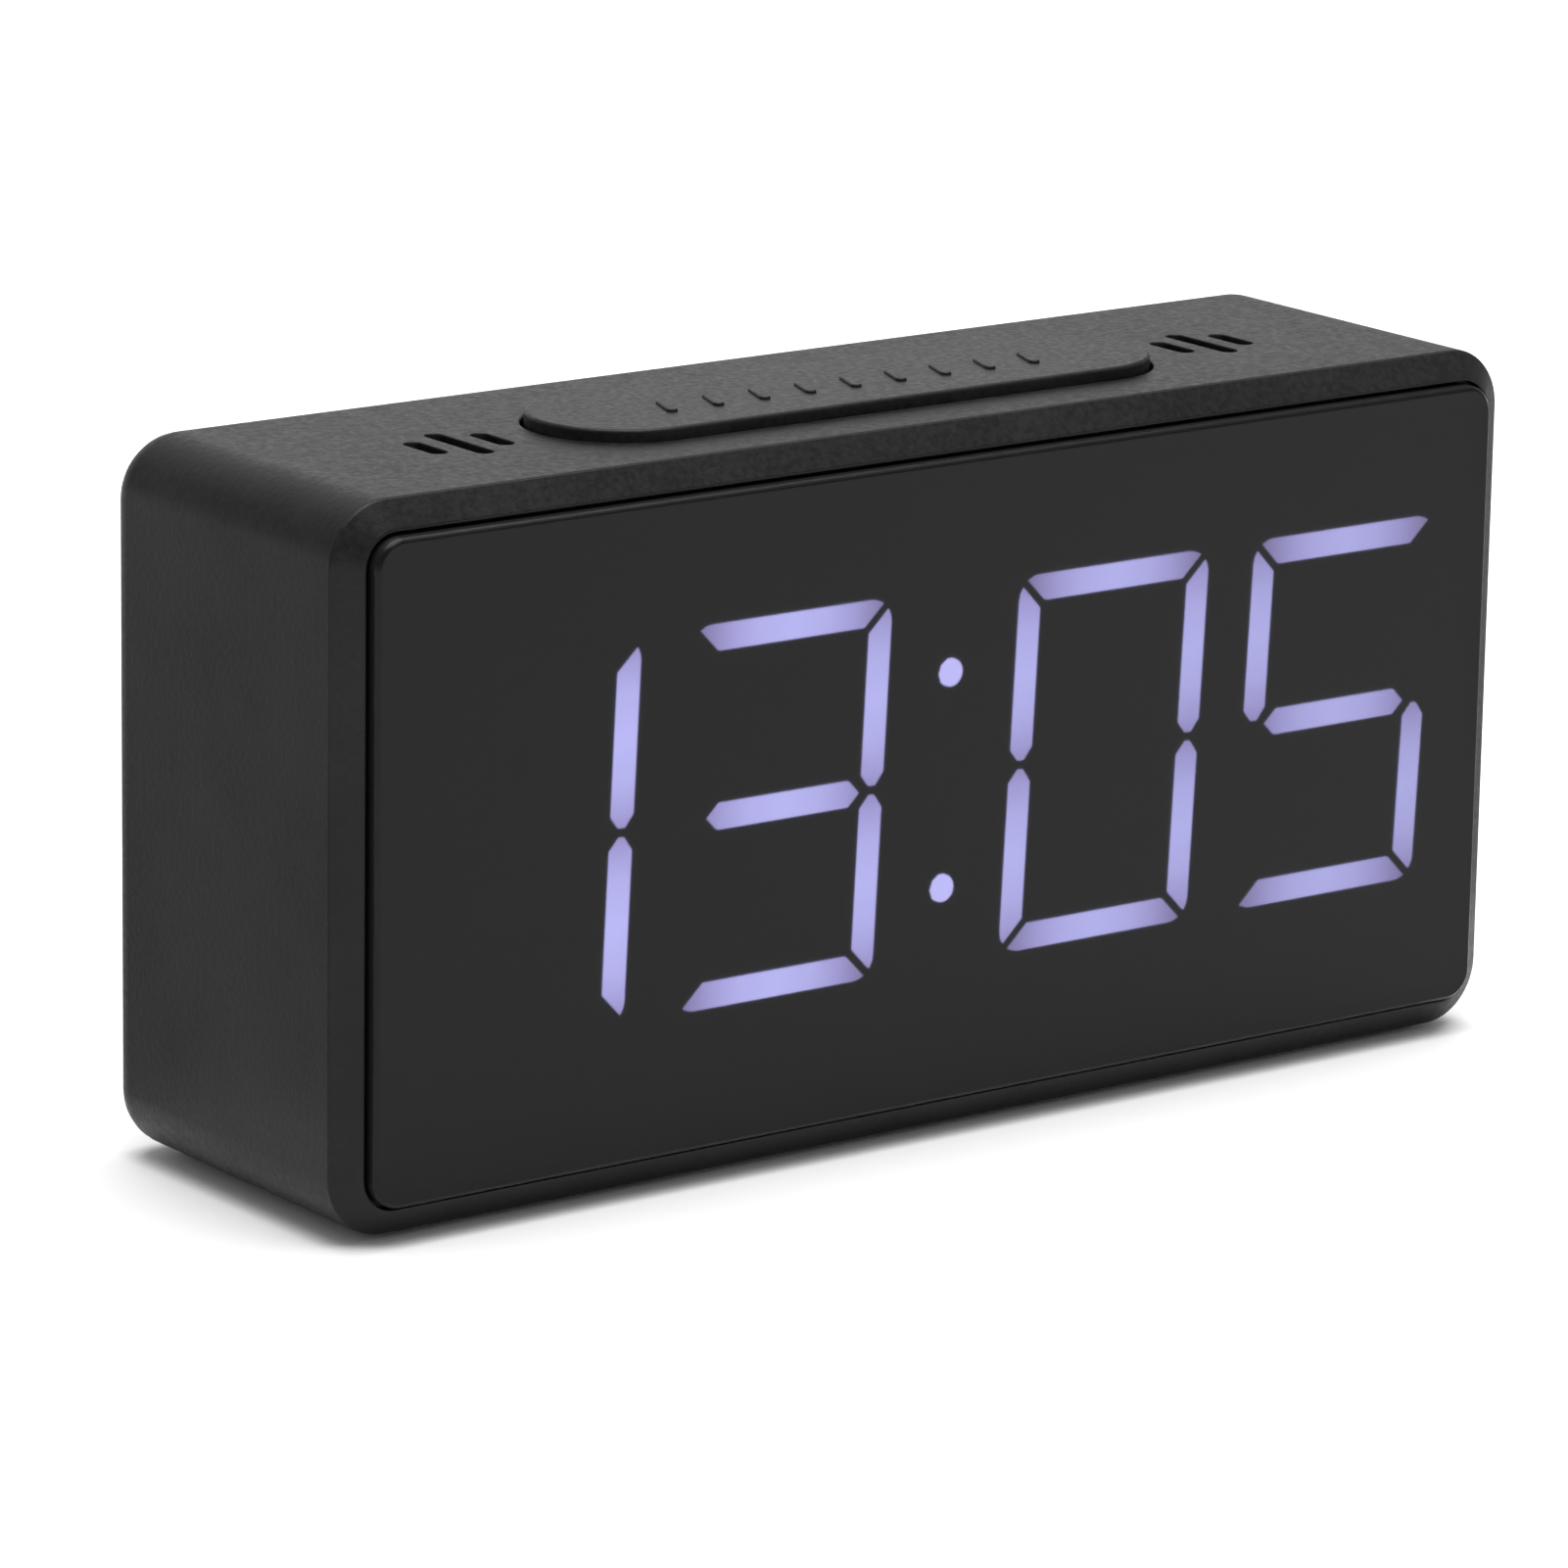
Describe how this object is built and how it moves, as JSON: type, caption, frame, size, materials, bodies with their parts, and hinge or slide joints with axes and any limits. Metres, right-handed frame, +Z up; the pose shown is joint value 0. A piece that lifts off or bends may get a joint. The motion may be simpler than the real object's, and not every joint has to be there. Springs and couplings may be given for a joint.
{
  "type": "digital alarm clock",
  "caption": "Slim box-shaped digital alarm clock: lit digits behind a smoked front, a wide snooze bar on top, setting buttons and a hinged battery door at the back.",
  "frame": {"origin": "on the surface that the feet stand on, under the middle of the clock's bounding box", "axes": "+X to the clock's right as one reads it, -Y out of the display, +Z up"},
  "size_m": [0.1, 0.03, 0.0513],
  "materials": {
    "case_plastic": "fine moulded matte",
    "cover_plastic": "fine moulded matte",
    "smoked_acrylic": "satin, smoked",
    "black_tape": "foam tape",
    "black_film": "printed film",
    "milky_diffuser": "milky, lit from behind",
    "white_reflector": "moulded",
    "circuit_board": "solder resist",
    "chip_plastic": "moulded",
    "switch_plastic": "moulded",
    "plunger_plastic": "moulded",
    "can_metal": "satin",
    "screw_steel": "zinc plated",
    "nickel_strip": "nickel plated",
    "battery_sleeve": "printed sleeve, bare of words",
    "foot_rubber": "matte",
    "red_wire": "insulation",
    "black_wire": "insulation",
    "ribbon_plastic": "insulation"
  },
  "bodies": {
    "housing": {"case_shell": "case_plastic", "foot_1": "foot_rubber", "foot_2": "foot_rubber", "foot_3": "foot_rubber", "foot_4": "foot_rubber", "front_lens": "smoked_acrylic", "lens_tape": "black_tape", "segment_mask": "black_film", "digit_diffuser_1": "milky_diffuser", "digit_diffuser_2": "milky_diffuser", "digit_diffuser_3": "milky_diffuser", "digit_diffuser_4": "milky_diffuser", "colon_diffuser": "milky_diffuser", "light_box": "white_reflector", "display_board": "circuit_board", "clock_chip": "chip_plastic", "crystal": "can_metal", "capacitor": "can_metal", "buzzer": "switch_plastic", "board_screw_1": "screw_steel", "board_screw_2": "screw_steel", "board_screw_3": "screw_steel", "board_screw_4": "screw_steel", "snooze_switch": "switch_plastic", "rear_cover": "cover_plastic", "cover_screw_1": "screw_steel", "cover_screw_2": "screw_steel", "cover_screw_3": "screw_steel", "cover_screw_4": "screw_steel", "battery_1": "battery_sleeve", "battery_2": "battery_sleeve", "battery_3": "battery_sleeve", "contact_positive": "nickel_strip", "contact_negative": "nickel_strip", "contact_bridge_1": "nickel_strip", "contact_bridge_2": "nickel_strip", "battery_lead_positive": "red_wire", "battery_lead_negative": "black_wire", "mode_switch": "switch_plastic", "alarm_switch": "switch_plastic", "up_switch": "switch_plastic", "down_switch": "switch_plastic", "button_board": "circuit_board", "button_board_screw_1": "screw_steel", "button_board_screw_2": "screw_steel", "usb_socket": "can_metal", "ribbon_cable": "ribbon_plastic"},
    "snooze_key": {"snooze_bar": "case_plastic", "snooze_plunger": "plunger_plastic"},
    "mode_key": {"mode_button": "cover_plastic", "mode_plunger": "plunger_plastic"},
    "alarm_key": {"alarm_button": "cover_plastic", "alarm_plunger": "plunger_plastic"},
    "up_key": {"up_button": "cover_plastic", "up_plunger": "plunger_plastic"},
    "down_key": {"down_button": "cover_plastic", "down_plunger": "plunger_plastic"},
    "door": {"battery_door": "cover_plastic"}
  },
  "joints": [
    {"name": "snooze_press", "type": "slide", "parent": "housing", "child": "snooze_key", "axis": [0, 0, -1], "range_m": [0, 0.0008], "stiffness_N_per_m": 800, "springref_m": -0.0005},
    {"name": "mode_press", "type": "slide", "parent": "housing", "child": "mode_key", "axis": [0, -1, 0], "range_m": [0, 0.0005], "stiffness_N_per_m": 800, "springref_m": -0.0004},
    {"name": "alarm_press", "type": "slide", "parent": "housing", "child": "alarm_key", "axis": [0, -1, 0], "range_m": [0, 0.0005], "stiffness_N_per_m": 800, "springref_m": -0.0004},
    {"name": "up_press", "type": "slide", "parent": "housing", "child": "up_key", "axis": [0, -1, 0], "range_m": [0, 0.0005], "stiffness_N_per_m": 800, "springref_m": -0.0004},
    {"name": "down_press", "type": "slide", "parent": "housing", "child": "down_key", "axis": [0, -1, 0], "range_m": [0, 0.0005], "stiffness_N_per_m": 800, "springref_m": -0.0004},
    {"name": "door_hinge", "type": "hinge", "parent": "housing", "child": "door", "pos_m": [-0.0148, 0.0143, 0.00865], "axis": [-1, 0, 0], "range_deg": [0, 75]}
  ]
}
